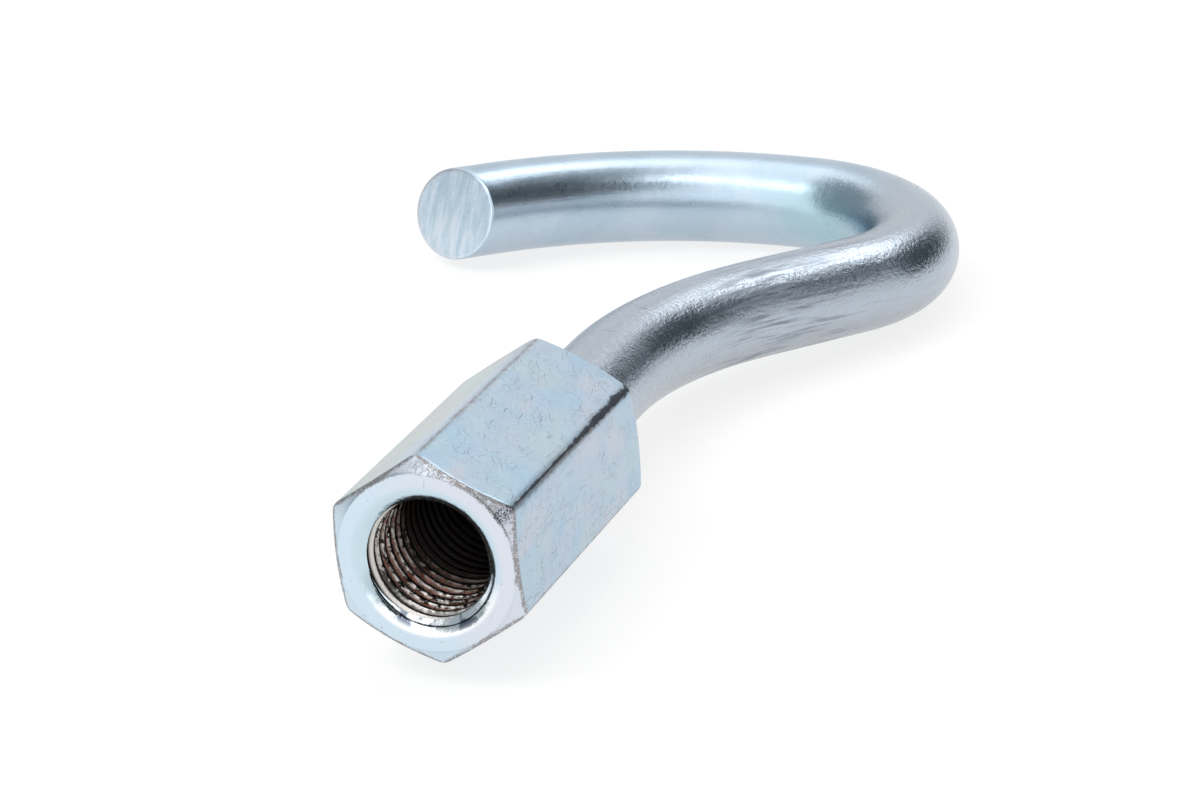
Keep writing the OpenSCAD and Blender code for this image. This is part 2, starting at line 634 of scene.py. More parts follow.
class HexSleeve(Piece):
    """Hexagonal sleeve with a chamfer at both ends, a countersink, a helical thread and the rod's seat."""

    name = "sleeve_threaded"
    # Directions from a corner to the middle of its flat, close together over the corner, in degrees
    over_corner = (0, 0.6, 1.2, 1.7, 2.1, 2.5, 2.9, 3.4, 4.1, 5.2)
    over_flat = (7, 9.5, 12.5, 15.5, 18.5, 21.5, 24.5, 27.3, 30)

    def __init__(self, size: SleeveSize, thread: ThreadSize, rod: RodSize) -> None:
        """Works out the places that follow from the sizes.

        Args:
            size: Sizes of the sleeve.
            thread: Sizes of its thread.
            rod: Sizes of the rod that it holds.
        """
        self.size = size
        self.thread = thread
        self.wear = EdgeWear()
        self.flat_r = size.across_flats / 2
        self.corner_r = self.flat_r / math.cos(math.radians(30)) - size.corner_break
        self.face_r = self.flat_r - size.chamfer_bite
        self.slope = math.tan(math.radians(size.chamfer_slope))
        drop = thread.mouth_r - thread.crest_r
        self.mouth_y = -drop / math.tan(math.radians(thread.countersink_slope))
        self.back_y = self.mouth_y + size.length
        self.seat_r = rod.diameter / 2 + size.seat_clearance
        drill = math.tan(math.radians(size.drill_slope))
        self.step_y = thread.length + (thread.crest_r - self.seat_r) / drill
        self.first_corner = -math.radians(90 - size.turn)
        self.theta = self.angles()

    def angles(self) -> np.ndarray:
        """Directions round the axis, close together at the corners.

        Returns:
            The angles from +X towards +Z, in radians.
        """
        half = self.over_corner + self.over_flat
        offsets = {a for a in half} | {-a for a in half if a < 30}
        degrees = [corner + offset for corner in range(0, 360, 60) for offset in offsets]
        return self.first_corner + np.radians(sorted(degrees))

    def from_flat(self) -> np.ndarray:
        """Angle of each direction from the middle of its flat."""
        sixth = math.radians(60)
        return np.mod(self.theta - self.first_corner, sixth) - sixth / 2

    def hexagon_r(self) -> np.ndarray:
        """Radius of the sharp hexagon in each direction."""
        return self.flat_r / np.cos(self.from_flat())

    def chamfer_r(self, y: float) -> float:
        """Radius that the nearer end chamfer leaves at y."""
        return self.face_r + min(y - self.mouth_y, self.back_y - y) / self.slope

    def past_chamfer(self, y: float) -> np.ndarray:
        """How far the hexagon reaches out past the turned chamfer at y: above 0 the chamfer shows."""
        return self.hexagon_r() - self.chamfer_r(y)

    def outer_r(self, y: float) -> np.ndarray:
        """Radius of the outside at y, in each direction."""
        turned = min(self.corner_r, self.chamfer_r(y))
        return soft_low(self.hexagon_r(), np.full_like(self.theta, turned), self.size.blend)

    def ring(self, radius: np.ndarray | float, y: np.ndarray | float) -> np.ndarray:
        """Points at a radius and a place along the axis, one for each direction."""
        x, z = radius * np.cos(self.theta), radius * np.sin(self.theta)
        return np.stack([x, np.broadcast_to(y, x.shape), z], -1)

    def corner_wear(self, y: float) -> np.ndarray:
        """How much an outside point is rubbed: 1 on the corners and the end chamfers, 0 on the flats.

        Args:
            y: The place along the axis.

        Returns:
            One factor for each direction.
        """
        wear = self.wear
        ridge = np.radians(30) - np.abs(self.from_flat())
        corner = np.exp(-((ridge * self.corner_r / wear.corner) ** 2)) * wear.corner_share
        past_edge = self.past_chamfer(y)
        reach = np.where(past_edge > 0, wear.rim_on_chamfer, wear.rim_on_flat)
        rim = np.exp(-((past_edge / reach) ** 2)) * wear.rim_share
        towards = np.clip(np.cos(self.theta - math.radians(wear.cone_more_at)), 0, 1) ** 2
        on_cone = np.clip(past_edge / wear.cone_edge + 0.5, 0, 1)
        cone = on_cone * (wear.cone_share + wear.cone_more * towards)
        corner = corner * np.clip(1 - past_edge / wear.corner_stop, 0, 1)
        return np.maximum(np.maximum(corner, cone), rim)

    def outside(self, made: Rings, y: float, inset: float, at: float) -> None:
        """Adds a ring of the outside.

        Args:
            made: The rings to add to.
            y: Where the ring lies.
            inset: How far it stands in from the outside, on the rounded edges.
            at: Where the outside's radius and wear are read.
        """
        chamfered = np.clip(self.past_chamfer(at) / 0.15 + 0.5, 0, 1)
        zone = Zone.OUTSIDE.value + 0.8 * chamfered
        made.add(self.ring(self.outer_r(at) - inset, y), zone=zone, wear=self.corner_wear(at))

    def bored(self, made: Rings, radius: float, y: float, zone: float, wear: float = 0.0) -> None:
        """Adds a round ring inside the sleeve, with its zone and wear."""
        made.add(self.ring(radius, y), zone=zone, wear=wear)

    def outside_rings(self, made: Rings, space: Spacing) -> None:
        """Adds the outside from the mouth to the back, with both rounded edges.

        Args:
            made: The rings to add to.
            space: How far apart the rings lie.
        """
        turn = self.size.edge_round
        first, last = self.mouth_y + turn, self.back_y - turn
        rounded = np.radians(np.linspace(0, 90, 6))
        for a in rounded[:-1]:
            self.outside(made, self.mouth_y + turn * (1 - math.cos(a)), turn * (1 - math.sin(a)), first)
        bands = (
            (first, first + space.chamfer_run, space.chamfer),
            (first + space.chamfer_run, last - space.chamfer_run, space.flats),
            (last - space.chamfer_run, last, space.chamfer),
        )
        for start, end, step in bands:
            for y in spaced(start, end, step):
                self.outside(made, y, 0.0, y)
        for a in rounded[::-1]:
            self.outside(made, self.back_y - turn * (1 - math.cos(a)), turn * (1 - math.sin(a)), last)

    def plain(self) -> bpy.types.Mesh:
        """Joins the outside, the back face, the seat, the thread's wall, the countersink and the front face.

        Returns:
            A closed mesh in millimetres, with a plain wall where the thread will be.
        """
        made, space = Rings(), Spacing()
        size, thread = self.size, self.thread
        self.outside_rings(made, space)
        self.face_rings(made, self.back_y, -1, self.seat_r + size.seat_break)
        for share in (0.75, 0.5, 0.25):
            rise = size.seat_break * share
            radius = self.seat_r + rise * share
            self.bored(made, radius, self.back_y - size.seat_break + rise, Zone.SEAT.value)
        for y in [*spaced(self.back_y - size.seat_break, self.step_y, space.seat), self.step_y]:
            self.bored(made, self.seat_r, y, Zone.SEAT.value)
        deep = spaced(thread.length, space.front_run, thread.pitch / space.deep_parts)
        front = spaced(space.front_run, 0.0, thread.pitch / space.front_parts)
        for y in np.concatenate([deep, front]):
            self.bored(made, thread.crest_r, y, Zone.THREAD.value)
        cone = math.tan(math.radians(thread.countersink_slope))
        turned = size.mouth_round
        for y in spaced(0.0, self.mouth_y + turned, thread.pitch / space.front_parts):
            self.bored(made, thread.crest_r - y * cone, y, Zone.CONE.value)
        for share in np.linspace(0, 1, 7):
            before, between = (1 - share) ** 2, 2 * share * (1 - share)
            radius = thread.mouth_r - turned * cone * before + turned * share ** 2
            zone = Zone.CONE.value * (1 - share) + Zone.FACE.value * share
            self.bored(made, radius, self.mouth_y + turned * before, zone, self.wear.lip_share * between)
        self.face_rings(made, self.mouth_y, 1, thread.mouth_r + turned)
        return made.mesh(self.name, looped=True)

    def face_rings(self, made: Rings, y: float, outwards: int, hole_r: float) -> None:
        """Adds the flat end face between its hole and the outside.

        Args:
            made: The rings to add to.
            y: Where the face lies.
            outwards: 1 to run from the hole to the outside and -1 for the other way.
            hole_r: Radius of the hole's edge.
        """
        wear, turn = self.wear, self.size.edge_round
        inside = self.mouth_y + turn if y < 0 else self.back_y - turn
        edge = self.outer_r(inside) - turn
        for share in np.linspace(0, 1, 12)[1:-1][::outwards]:
            rub = np.clip(1 - (edge - hole_r) * (1 - share) / wear.face_edge, 0, 1) * wear.face_share
            made.add(self.ring(hole_r + (edge - hole_r) * share, y), zone=Zone.FACE.value, wear=rub)
        if outwards < 0:
            self.bored(made, hole_r, y, Zone.FACE.value, wear.face_share)

    def worked(self, plain: bpy.types.Mesh, material: bpy.types.Material) -> bpy.types.Mesh:
        """Cuts the helical thread into the wall and a little into the countersink.

        Args:
            plain: The sleeve with a plain wall.
            material: Its finish.

        Returns:
            The sleeve with its thread, and the groove's depth as an attribute.
        """
        tool, thread = GeometryTool("helical_thread"), self.thread
        pitch = tool.size("Pitch", thread.pitch)
        crest_r = tool.size("Crest radius", thread.crest_r)
        depth = tool.size("Depth", thread.depth)
        crest = tool.size("Crest share", thread.crest_share)
        root = tool.size("Root share", thread.root_share)
        length = tool.size("Length", thread.length)
        run_out = tool.size("Run-out", thread.run_out)
        rough = tool.size("Roughness", thread.roughness)
        place = tool.add("GeometryNodeInputPosition")
        x, y, z = tool.split(place)
        turn = tool.math("ARCTAN2", z, x) / math.tau
        # Whole turns are added so that what FRACT reads is never below 0
        phase = tool.math("FRACT", y / pitch + turn + 50.0)
        rise = 1.0 - abs(phase * 2.0 - 1.0)
        flank = tool.math("SUBTRACT", rise, crest)
        groove = tool.math("DIVIDE", flank, 1.0 - crest - root, clamp=True)
        fade = tool.math("DIVIDE", length - y, run_out, clamp=True)
        here = tool.math("SQRT", x * x + z * z)
        grit = (tool.noise(place, 2.6, 4.0, 0.62) - 0.5) * rough
        inner = tool.step(y, -0.5, 0.4)
        wanted = crest_r + depth * groove * fade + grit * inner
        push = tool.high(wanted - here, 0.0)
        outward = tool.vector("NORMALIZE", tool.join(x, 0.0, z))
        zone = tool.add("GeometryNodeInputNamedAttribute", {"data_type": "FLOAT"}, {"Name": "zone"})
        in_bore = tool.bump_at(zone, 2.5, 1.2)
        above = {"operation": "GREATER_THAN", "data_type": "FLOAT"}
        chosen = tool.add("FunctionNodeCompare", above, {0: in_bore, 1: 0.05})
        marked = tool.add(
            "GeometryNodeStoreNamedAttribute", {"data_type": "FLOAT", "domain": "POINT"},
            {"Geometry": tool.out(tool.start, "Geometry"), "Name": "groove", "Value": groove * fade})
        moved = tool.add(
            "GeometryNodeSetPosition", None,
            {"Geometry": marked, "Selection": chosen, "Offset": tool.scaled(outward, push)})
        return tool.bake(moved, plain, material)


class HookRod(Piece):
    """Round rod, made straight with its cropped end and then bent along its centreline."""

    name = "rod_bent"
    around = 96
    # How far the centreline goes on behind the middle of the leaning crop
    past_end = 6.0

    def __init__(self, size: RodSize, root_y: float) -> None:
        """Works out the centreline.

        Args:
            size: Sizes of the rod.
            root_y: Where the seated end lies on the sleeve's axis.
        """
        self.size = size
        self.space = Spacing()
        self.radius = size.diameter / 2
        self.root_y = root_y
        bow = 90 + size.neck_angle
        self.runs = [
            (size.seat_len + size.shank_len, 0.0),
            (math.radians(size.neck_angle) * size.neck_r, size.neck_angle),
            (size.throat_len, 0.0),
            (math.radians(bow) * size.bow_r, -bow),
            (size.link_len, 0.0),
            (math.radians(size.arm_angle) * size.arm_r, -size.arm_angle),
            (size.end_len, 0.0),
        ]
        self.length = sum(run for run, _ in self.runs)

    def centreline(self) -> list[Vector]:
        """Points along the middle of the bent rod.

        Returns:
            Points no further apart than the spacing, in the plane of the hook.
        """
        place, heading = np.array([0.0, self.root_y]), 0.0
        points = [Vector((0.0, self.root_y, 0.0))]
        for run, angle in [*self.runs, (self.past_end, 0.0)]:
            count = max(1, math.ceil(run / self.space.centreline))
            step, turn = run / count, math.radians(angle) / count
            chord = step if turn == 0 else 2 * math.sin(abs(turn) / 2) * step / abs(turn)
            for _ in range(count):
                middle = heading + turn / 2
                place = place + chord * np.array([math.sin(middle), math.cos(middle)])
                heading += turn
                points.append(Vector((place[0], place[1], 0.0)))
        return points

    def plain(self) -> bpy.types.Mesh:
        """The rod before it is bent, along +Y from its seated end.

        Returns:
            A closed mesh in millimetres.
        """
        size, space, made = self.size, self.space, Rings()
        angle = np.linspace(0, math.tau, self.around, endpoint=False)
        across, up = np.cos(angle), np.sin(angle)
        lean = math.tan(math.radians(size.crop_lean))
        tilt = math.tan(math.radians(size.crop_tilt)) / math.cos(math.radians(size.crop_lean))

        def ring(
            radius: float, along: float, slant: float = 0.0, end: float = 0.0, edge: float = 0.0,
        ) -> None:
            """Adds a ring, leaning with the crop by the share slant."""
            x, z = radius * across, radius * up
            y = along + slant * (lean * x - tilt * z)
            made.add(np.stack([x, np.broadcast_to(y, x.shape), z], -1), end=end, edge=edge)

        for share in (0.3, 0.65):
            ring((self.radius - size.lead_chamfer) * share, 0.0)
        for share in (0.0, 0.5):
            ring(self.radius - size.lead_chamfer * (1 - share), size.lead_chamfer * share)
        leaning = self.length - space.crop_run
        for s in spaced(size.lead_chamfer, leaning, space.bar):
            ring(self.radius, s)
        last = self.length - size.crop_edge
        for s in spaced(leaning, last, space.crop):
            share = 1 - (self.length - s) / space.crop_run
            near = math.exp(-(((last - s) / size.crop_worn) ** 2))
            ring(self.radius, s, share ** 1.5, edge=near)
        for a in np.radians(np.linspace(0, 90, 6)):
            radius = self.radius - size.crop_edge * (1 - math.cos(a))
            ring(radius, last + size.crop_edge * math.sin(a), 1.0, math.sin(a), 1.0)
        for share in np.linspace(1, 0, 22)[1:-1]:
            rim = math.exp(-(((1 - share) * self.radius / size.crop_rim) ** 2))
            dome = size.crop_dome * (1 - share ** 2) * 0.5
            ring((self.radius - size.crop_edge) * share, self.length + dome, 1.0, 1.0, rim)
        return made.mesh(self.name, looped=False)

    def worked(self, plain: bpy.types.Mesh, material: bpy.types.Material) -> bpy.types.Mesh:
        """Bends the straight bar along the centreline.

        Args:
            plain: The straight bar.
            material: Its finish.

        Returns:
            The bent mesh.
        """
        points = self.centreline()
        line = bpy.data.curves.new("centreline", "CURVE")
        line.dimensions = "3D"
        spline = line.splines.new("POLY")
        spline.points.add(len(points) - 1)
        for target, point in zip(spline.points, points):
            target.co = (*point, 1.0)
        guide = linked("centreline", line)
        tool = GeometryTool("bend_bar")
        path = tool.size("Centreline", guide, "NodeSocketObject")
        plane = tool.size("Plane normal", (0.0, 0.0, 1.0), "NodeSocketVector")
        x, y, z = tool.split(tool.add("GeometryNodeInputPosition"))
        curve = tool.node("GeometryNodeObjectInfo", None, {"Object": path})
        sample = tool.node(
            "GeometryNodeSampleCurve", {"mode": "LENGTH", "data_type": "FLOAT_VECTOR"},
            {"Curves": tool.out(curve, "Geometry"), "Length": y})
        tangent = tool.out(sample, "Tangent")
        side = tool.vector("NORMALIZE", tool.vector("CROSS_PRODUCT", tangent, plane))
        off_axis = tool.vector("ADD", tool.scaled(side, x), tool.scaled(plane, z))
        target = tool.vector("ADD", tool.out(sample, "Position"), off_axis)
        # What lies before the start of the curve goes straight on along its first tangent
        before = tool.scaled(tangent, tool.math("MINIMUM", y, 0.0))
        target = tool.vector("ADD", target, before)
        places = {"Geometry": tool.out(tool.start, "Geometry"), "Position": target}
        mesh = tool.bake(tool.add("GeometryNodeSetPosition", None, places), plain, material)
        bpy.data.objects.remove(guide)
        bpy.data.curves.remove(line)
        return mesh


@dataclass(frozen=True)
class Zinc:
    """Base of the zinc finishes: their bump, and the scale, detail and roughness of their two noises."""

    name: str
    bump_strength: float
    bump_m: float
    mottle: tuple[float, float, float]
    fine: tuple[float, float, float]


class Skin(Graph):
    """A material whose node tree holds a Principled shader."""

    def __init__(self, name: str, constants: dict) -> None:
        """Makes the material.

        Args:
            name: Its name.
            constants: Values that are the same all over the surface.
        """
        self.material = bpy.data.materials.new(name)
        self.material.use_nodes = True
        super().__init__(self.material.node_tree)
        self.tree.nodes.clear()
        self.surface = self.node("ShaderNodeBsdfPrincipled", None, constants)
        self.end = self.node("ShaderNodeOutputMaterial", None, {"Surface": self.out(self.surface)})

    def dress(self, looks: dict[str, Value]) -> bpy.types.Material:
        """Links what varies over the surface.

        Args:
            looks: What goes into the Principled node, by the name of its input.

        Returns:
            The material.
        """
        for name, value in looks.items():
            self.feed(self.surface.inputs[name], value)
        return self.material


class ZincSkin(Skin):
    """A skin that knows where its surface was made, in millimetres, with the two noises read there."""

    def __init__(self, finish: Zinc, constants: dict) -> None:
        """Adds what both zinc finishes are built from.

        Args:
            finish: The finish.
            constants: Values that are the same all over the surface.
        """
        super().__init__(finish.name, constants)
        self.finish = finish
        self.place = self.attribute("made_at", "Vector")
        self.x, self.y, self.z = self.split(self.place)
        self.mottle = self.noise(self.place, *finish.mottle)
        self.fine = self.noise(self.place, *finish.fine)

    def relief(self, height: Sock) -> Sock:
        """Adds the bump that follows a height, in shares of the finish's depth."""
        depth = {"Strength": self.finish.bump_strength, "Distance": self.finish.bump_m}
        return self.add("ShaderNodeBump", None, {**depth, "Height": height})


@dataclass(frozen=True)
class SleeveZinc(Zinc):
    """Bright zinc with a pale blue film, tumbled, rubbed at its edges and rusty inside the thread."""

    name: str = "sleeve_zinc"
    bump_strength: float = 0.28
    bump_m: float = 0.00008
    mottle: tuple[float, float, float] = (1.1, 4.0, 0.6)
    fine: tuple[float, float, float] = (8.0, 3.0, 0.7)
    film: Colour = (0.405, 0.560, 0.695)
    pale: Colour = (0.460, 0.560, 0.665)
    bloom: Colour = (0.70, 0.76, 0.84)
    face: Colour = (0.62, 0.745, 0.845)
    face_warm: Colour = (0.69, 0.725, 0.80)
    pink: Colour = (0.66, 0.60, 0.62)
    green: Colour = (0.52, 0.66, 0.62)
    straw: Colour = (0.50, 0.53, 0.44)
    rubbed: Colour = (0.27, 0.25, 0.25)
    glint: Colour = (0.86, 0.83, 0.82)
    hairline: Colour = (0.16, 0.19, 0.26)
    # Near black: the painted dark reflection along the upper right corner
    painted_corner_reflection: Colour = (0.035, 0.045, 0.065)
    rust: Colour = (0.21, 0.055, 0.025)
    brown: Colour = (0.055, 0.03, 0.022)
    # Near black: painted shade in the grooves and deep in the bore, and dark specks on the crests
    deep: Colour = (0.012, 0.009, 0.008)
    steel: Colour = (0.62, 0.60, 0.57)
    # Painted shade: the crests darken to this deeper in the bore
    painted_crest_shade: Colour = (0.42, 0.38, 0.36)
    # Painted highlight on the lower crests of the thread's first turns
    shine: Colour = (1.0, 0.97, 0.93)
    polished: Colour = (0.56, 0.70, 0.78)
    # Painted white highlight on the lower side of the mouth's lip
    bright: Colour = (0.93, 0.96, 0.98)
    # Painted dark reflection, in patches on the lower side of the countersink
    painted_reflection_navy: Colour = (0.06, 0.09, 0.16)
    # How much a coat hides of what is under it
    cover: float = 0.85
    # Radius at which the outside is unrolled for its scratches, in millimetres
    unroll_r: float = 7.4
    # Direction of the painted dark reflection, from +X towards +Z in degrees: along the upper right corner
    corner_reflection_at: float = 37.5
    # Zones of the surface, as numbers
    on_chamfer: Span = (0.2, 0.6)
    off_face: Span = (0.95, 0.85)
    on_face: Span = (1.0, 0.5)
    on_lip: Span = (1.02, 1.35)
    on_cone: Span = (1.02, 1.3)
    off_cone: Span = (2.7, 2.3)
    in_bore: Span = (2.3, 2.8)
    # Depths behind the mouth's thread, in millimetres
    first_turn: Span = (0.7, 1.3)
    crest_shade_from: Span = (2.5, 7.0)
    lit_until: Span = (7.0, 4.0)
    crest_rust: Span = (0.9, 2.2)
    groove_rust: Span = (1.0, 2.6)
    painted_black_from: Span = (3.0, 7.0)
    dull_from: Span = (0.6, 2.0)

    def outside(self, skin: ZincSkin) -> Value:
        """Colour of the flats and the end faces, before wear.

        Args:
            skin: The material to build in.

        Returns:
            The colour.
        """
        place, x, z = skin.place, skin.x, skin.z
        cloud = skin.noise(place, 0.16, 3.0, 0.55)
        hue = skin.noise(skin.vector("MULTIPLY", place, (1.0, 0.45, 1.0)), 0.32, 2.5, 0.5)
        left = skin.step(x, -1.0, -4.5)
        across = skin.step(x + z * 0.4 + (cloud - 0.5) * 14.0, -5.0, 5.0)
        on_face = skin.bump_at(skin.attribute("zone"), 1.0, 0.9)
        return skin.coats(
            self.film,
            (skin.step(cloud, 0.38, 0.62), self.pale),
            (left * 0.6, self.straw),
            (skin.step(hue, 0.48, 0.66) * skin.mix(left, 0.28, 0.40), self.pink),
            (skin.step(hue, 0.50, 0.32) * skin.mix(left, 0.30, 0.34), self.green),
            (on_face, skin.blend(across, self.face, self.face_warm)),
            (skin.step(skin.mottle, 0.35, 0.8) * 0.18, self.bloom),
            (skin.step(skin.fine, 0.60, 0.80) * 0.22, self.hairline),
        )

    def hairlines(self, skin: ZincSkin) -> Sock:
        """Fine tumbling scratches in loose clusters, on the outside only.

        Args:
            skin: The material to build in.

        Returns:
            1 in a scratch and 0 beside it.
        """
        unrolled = skin.join(skin.math("ARCTAN2", skin.z, skin.x) * self.unroll_r, skin.y, 0.0)
        found: Value = 0.0
        for scale, turn, spread, width in ((0.8, 55, 40, 0.030), (1.5, 70, 60, 0.024), (2.4, 20, 90, 0.020)):
            moved = skin.vector("ADD", unrolled, (7.3 * scale, 3.1 * scale, 0.0))
            found = skin.high(found, skin.scratches(moved, scale, turn, spread, width))
        cluster = skin.step(skin.noise(skin.place, 0.55, 3.0, 0.6), 0.38, 0.56)
        return found * cluster * skin.step(skin.attribute("zone"), 0.9, 0.5)

    def inside(self, skin: ZincSkin) -> Value:
        """Colour of the thread: bright first turn with painted highlights on its lower crests, then rust in
        the grooves, then painted shade that darkens the crests and turns the grooves and the deep bore
        black.

        Args:
            skin: The material to build in.

        Returns:
            The colour.
        """
        x, y, z = skin.x, skin.y, skin.z
        groove = skin.attribute("groove")
        winding = skin.join(skin.math("ARCTAN2", z, x) * 1.5, y * 1.1, 0.0)
        coarse = skin.noise(winding, 1.1, 3.0, 0.6)
        grain = skin.noise(winding, 5.0, 3.0, 0.7)
        speck = skin.step(grain + (coarse - 0.5) * 0.7, 0.42, 0.56)
        rusty = skin.step(skin.noise(skin.place, 4.0, 3.0, 0.6), 0.35, 0.62)
        rust = skin.blend(rusty, self.brown, self.rust)
        # Painted highlight: white glints on the lower crests of the first turns
        lit = skin.step(grain + skin.fine * 0.5, 0.80, 0.92) * skin.step(z, 0.0, -2.5)
        lit = lit * skin.step(x, -3.0, 0.5)
        patch = skin.step(coarse + groove * 0.4 - 0.2, 0.34, 0.52)
        # Grooves: rust in patches, elsewhere painted shade in black
        sunk = skin.blend(patch * skin.step(y, *self.groove_rust), self.deep, rust)
        # Painted shade: the crests darken deeper in the bore
        crest = skin.blend(skin.step(y, *self.crest_shade_from), self.steel, self.painted_crest_shade)
        crest = skin.blend(speck, self.deep, crest)
        return skin.coats(
            self.steel,
            (skin.step(y, *self.first_turn), crest),
            (lit * skin.step(y, *self.lit_until), self.shine),
            (patch * skin.step(y, *self.crest_rust) * self.cover, rust),
            (skin.step(groove, 0.35, 0.7), sunk),
            # Painted shade: the bore turns black further in, sooner on its upper side
            (skin.step(y + z * 0.35, *self.painted_black_from), self.deep),
        )

    def corner_reflection_share(self, skin: ZincSkin) -> Sock:
        """The painted dark reflection along the upper right corner, ragged and wider towards both ends.

        Args:
            skin: The material to build in.

        Returns:
            How much of it shows.
        """
        y, mottle, fine = skin.y, skin.mottle, skin.fine
        angle = skin.math("ARCTAN2", skin.z, skin.x) * (180 / math.pi)
        width = 0.75 + skin.step(y, 7.0, 25.0) * 1.9 + skin.step(y, 0.35, -0.75) * 4.5
        off = abs(angle - self.corner_reflection_at) / width + (fine - 0.5) * 2.2 + (mottle - 0.5) * 3.0
        painted_corner_reflection = skin.step(off, 1.1, 0.6) * skin.step(skin.attribute("zone"), *self.off_face)
        return painted_corner_reflection * skin.mix(skin.step(y, 1.5, 0.0), 0.93, skin.step(fine, 0.35, 0.6))

    def build(self) -> bpy.types.Material:
        """Makes the material.

        Returns:
            The sleeve's finish.
        """
        skin = ZincSkin(self, {"IOR": 1.6})
        place, x, y, z, mottle, fine = skin.place, skin.x, skin.y, skin.z, skin.mottle, skin.fine
        wear = skin.attribute("wear")
        zone = skin.attribute("zone")
        lines = self.hairlines(skin)
        rub = skin.step(wear + (fine - 0.5) * 1.1 + (mottle - 0.5) * 0.6, 0.50, 0.85)
        flecks = skin.noise(place, 6.0, 3.0, 0.7)
        glint = skin.step(wear + (flecks - 0.5) * 1.8, 0.92, 1.15)
        face = skin.bump_at(zone, *self.on_face)
        pits = skin.step(skin.noise(place, 2.2, 3.0, 0.7), 0.66, 0.72)
        scratch = skin.step(abs(x + (mottle - 0.5) * 0.25), 0.05, 0.0) * skin.bump_at(z, 6.0, 0.6)
        below = skin.step(z - x * 0.25, -1.5, -4.0)
        # Patches of painted dark reflection on the countersink, kept to its lower side
        painted_reflection_patches = skin.step(skin.noise(place, 0.75, 2.0, 0.5), 0.50, 0.60) * skin.step(zone, 1.2, 1.75)
        deep_in = skin.step(zone, *self.in_bore)
        base = skin.coats(
            self.outside(skin),
            (lines * self.cover, self.hairline),
            (rub * self.cover, self.rubbed),
            (glint * skin.step(zone, *self.on_chamfer) * self.cover, self.glint),
            # Painted dark reflection along the upper right corner
            (self.corner_reflection_share(skin), self.painted_corner_reflection),
            (pits * face * 0.6, self.rubbed),
            (scratch * face * 0.5, self.hairline),
            # The mouth's lip: its polished colour, with a painted white highlight on its lower side
            (skin.step(zone, *self.on_lip) * self.cover, skin.blend(below, self.polished, self.bright)),
            # Painted dark reflection patches on the lower countersink
            (painted_reflection_patches * below * self.cover, self.painted_reflection_navy),
            (deep_in, self.inside(skin)),
        )
        cone = skin.step(zone, *self.on_cone) * skin.step(zone, *self.off_cone)
        rough = skin.mix(cone, skin.mix(mottle, 0.26, 0.40), 0.10)
        rough = skin.mix(rub * (1.0 - glint), rough, 0.48)
        rough = skin.mix(deep_in * skin.step(y, 0.8, 2.0), rough, 0.36)
        dull = skin.step(skin.attribute("groove"), 0.35, 0.75) * skin.step(y, *self.dull_from)
        metal = 1.0 - deep_in * dull * self.cover
        ringed = skin.math("SINE", skin.math("SQRT", x * x + z * z) * 34.0)
        height = fine * 0.35 + mottle * 0.5 - lines * 0.5 + ringed * face * 0.04
        height = height + rub * fine * 1.2 + deep_in * fine * 1.5 + cone * mottle * 1.5
        return skin.dress(
            {"Base Color": base, "Roughness": rough, "Metallic": metal, "Normal": skin.relief(height)})


